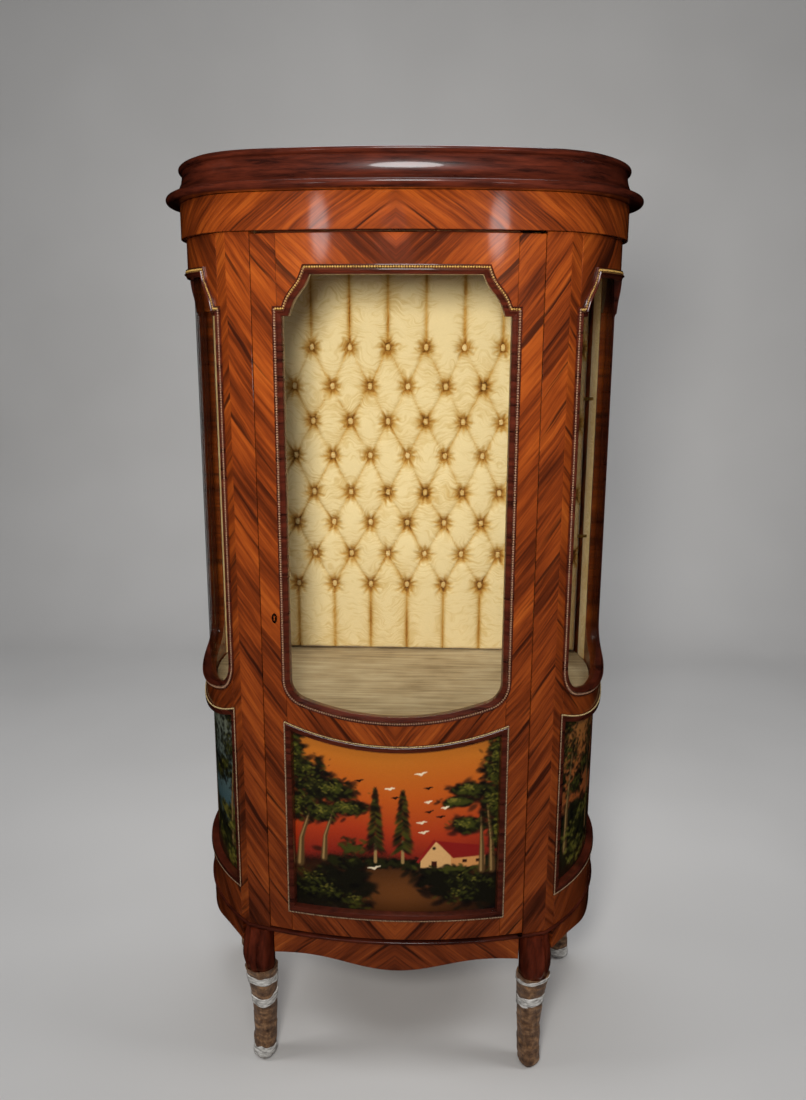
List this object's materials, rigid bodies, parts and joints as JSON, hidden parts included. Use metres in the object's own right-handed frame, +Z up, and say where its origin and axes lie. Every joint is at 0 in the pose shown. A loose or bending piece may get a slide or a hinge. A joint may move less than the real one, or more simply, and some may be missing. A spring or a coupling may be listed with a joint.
{
  "type": "china cabinet with glass door",
  "caption": "Bow-fronted display cabinet with one glazed door, curved side windows, painted lower panels, tufted back and four wrapped legs.",
  "frame": {"origin": "middle of the bounding box's base, on the floor", "axes": "+X to the right seen from the front, +Y to the back, +Z up; the door faces -Y"},
  "size_m": [0.8658, 0.463, 1.681],
  "materials": {
    "veneer": "glossy chevron veneer",
    "dark_wood": "polished dark mahogany",
    "plain_wood": "bare board",
    "painted_board": null,
    "clear_glass": "clear curved pane",
    "satin": "pale gold satin",
    "brass": "aged",
    "kraft_paper": "creased brown packing paper"
  },
  "bodies": {
    "cabinet": {"frieze": "veneer", "front_apron": "veneer", "left_front_stile": "veneer", "left_rear_stile": "veneer", "left_side_top_rail": "veneer", "left_side_belt_rail": "veneer", "left_side_base_rail": "veneer", "left_side_apron": "veneer", "right_front_stile": "veneer", "right_rear_stile": "veneer", "right_side_top_rail": "veneer", "right_side_belt_rail": "veneer", "right_side_base_rail": "veneer", "right_side_apron": "veneer", "cornice_lip": "dark_wood", "cornice_cove": "dark_wood", "base_bead": "dark_wood", "left_side_glass_moulding": "dark_wood", "left_side_panel_moulding": "dark_wood", "left_front_leg": "dark_wood", "left_rear_leg": "dark_wood", "right_side_glass_moulding": "dark_wood", "right_side_panel_moulding": "dark_wood", "right_front_leg": "dark_wood", "right_rear_leg": "dark_wood", "base_board": "plain_wood", "display_floor": "plain_wood", "top_board": "plain_wood", "crown_board": "plain_wood", "back_board": "plain_wood", "left_side_painted_panel": "painted_board", "right_side_painted_panel": "painted_board", "left_side_glass": "clear_glass", "right_side_glass": "clear_glass", "tufted_lining": "satin", "case_upper_hinge_leaf": "brass", "case_lower_hinge_leaf": "brass", "lock_keeper": "brass", "shelf_peg_left_upper": "brass", "shelf_peg_left_lower": "brass", "shelf_peg_right_upper": "brass", "shelf_peg_right_lower": "brass", "left_front_leg_wrap": "kraft_paper", "left_rear_leg_wrap": "kraft_paper", "right_front_leg_wrap": "kraft_paper", "right_rear_leg_wrap": "kraft_paper"},
    "door": {"door_left_stile": "veneer", "door_right_stile": "veneer", "door_top_rail": "veneer", "door_middle_rail": "veneer", "door_bottom_rail": "veneer", "door_glass": "clear_glass", "door_glass_moulding": "dark_wood", "door_painted_panel": "painted_board", "door_panel_moulding": "dark_wood", "door_upper_hinge_leaf": "brass", "door_lower_hinge_leaf": "brass", "lock_case": "brass", "escutcheon": "brass"},
    "lock_bolt": {"lock_bolt": "brass"}
  },
  "joints": [
    {"name": "door_hinge", "type": "hinge", "parent": "cabinet", "child": "door", "pos_m": [0.23275, -0.16924, 0.93], "axis": [0, 0, 1], "range_deg": [0, 110]},
    {"name": "bolt_throw", "type": "slide", "parent": "door", "child": "lock_bolt", "axis": [-0.9692, 0.2463, 0], "range_m": [0, 0.01]}
  ]
}
